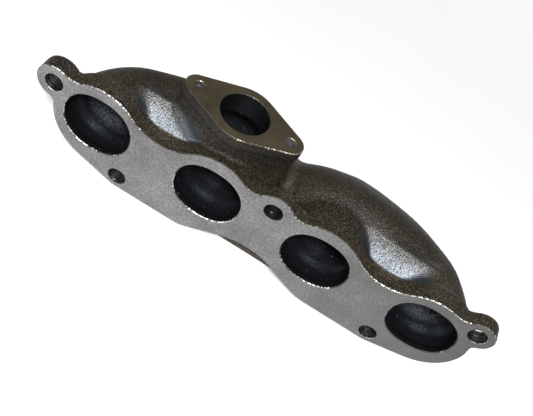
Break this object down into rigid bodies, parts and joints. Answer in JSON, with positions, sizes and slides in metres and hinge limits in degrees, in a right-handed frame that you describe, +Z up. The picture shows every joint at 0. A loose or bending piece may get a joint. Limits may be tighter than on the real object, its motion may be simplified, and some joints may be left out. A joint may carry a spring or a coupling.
{
  "type": "exhaust manifold",
  "caption": "Cast-iron turbo exhaust manifold for an inline engine, with a head flange, log runners, a turbo flange below and a wastegate flange on top.",
  "frame": {"origin": "on the machined head face, halfway between ports 2 and 3, at the height of the port centres", "axes": "+X along the port row from port 1 to port 4; +Y away from the cylinder head, out of the back of the casting; +Z up, towards the wastegate flange"},
  "size_m": [0.3816, 0.098, 0.114],
  "materials": {
    "machined_head_face": "face-milled, matt warm grey with bright edges",
    "sand_cast_skin": "sand-cast grain, lightly oiled, dark brown grey",
    "machined_outlet_face": "fine-milled and oiled, satin brown grey"
  },
  "bodies": {
    "root": {"head_flange_1": "machined_head_face", "head_flange_2": "machined_head_face", "head_flange_centre": "machined_head_face", "head_flange_3": "machined_head_face", "head_flange_4": "machined_head_face", "centre_stud_boss": "sand_cast_skin", "port_stub_1": "sand_cast_skin", "port_stub_2": "sand_cast_skin", "port_stub_3": "sand_cast_skin", "port_stub_4": "sand_cast_skin", "elbow_1": "sand_cast_skin", "elbow_4": "sand_cast_skin", "runner_1": "sand_cast_skin", "runner_4": "sand_cast_skin", "branch_2": "sand_cast_skin", "branch_3": "sand_cast_skin", "collector": "sand_cast_skin", "turbo_neck": "sand_cast_skin", "wastegate_neck": "sand_cast_skin", "turbo_flange": "machined_outlet_face", "wastegate_flange": "machined_outlet_face"}
  },
  "joints": []
}
